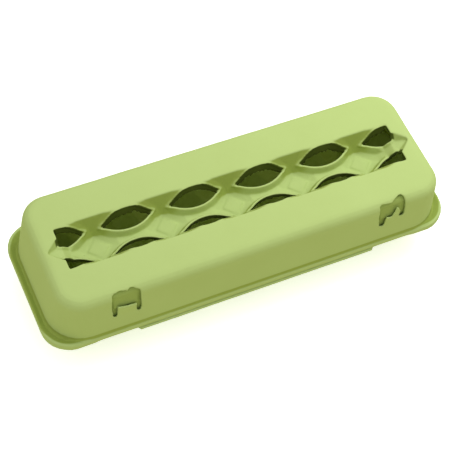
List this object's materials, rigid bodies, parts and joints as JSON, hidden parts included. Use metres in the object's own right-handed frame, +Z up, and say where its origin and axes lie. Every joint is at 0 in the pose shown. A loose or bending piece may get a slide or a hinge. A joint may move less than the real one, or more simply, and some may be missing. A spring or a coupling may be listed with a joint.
{
  "type": "egg carton",
  "caption": "Moulded paper pulp carton for two rows of eggs: tray of round cups, hinged lid with a central valley of view holes, tongue-and-flap lock.",
  "frame": {"origin": "centre of the closed carton's footprint, on the plane it stands on", "axes": "+X along the carton's length, -Y towards the front wall with the two lock windows, +Z up"},
  "size_m": [0.3008, 0.1034, 0.07],
  "materials": {
    "lid_pulp": "matte green moulded paper pulp",
    "tray_pulp": "matte green moulded paper pulp",
    "flap_pulp": "matte green moulded paper pulp",
    "hinge_pulp": "matte green moulded paper pulp, pressed thin"
  },
  "bodies": {
    "tray": {"tray": "tray_pulp", "locking_flap": "flap_pulp", "hinge_strip": "hinge_pulp"},
    "lid": {"lid": "lid_pulp"}
  },
  "joints": [
    {"name": "lid_hinge", "type": "hinge", "parent": "tray", "child": "lid", "pos_m": [0, 0.0517, 0.026], "axis": [-1, 0, 0], "range_deg": [0, 130], "deforming": ["locking_flap", "hinge_strip"]}
  ]
}
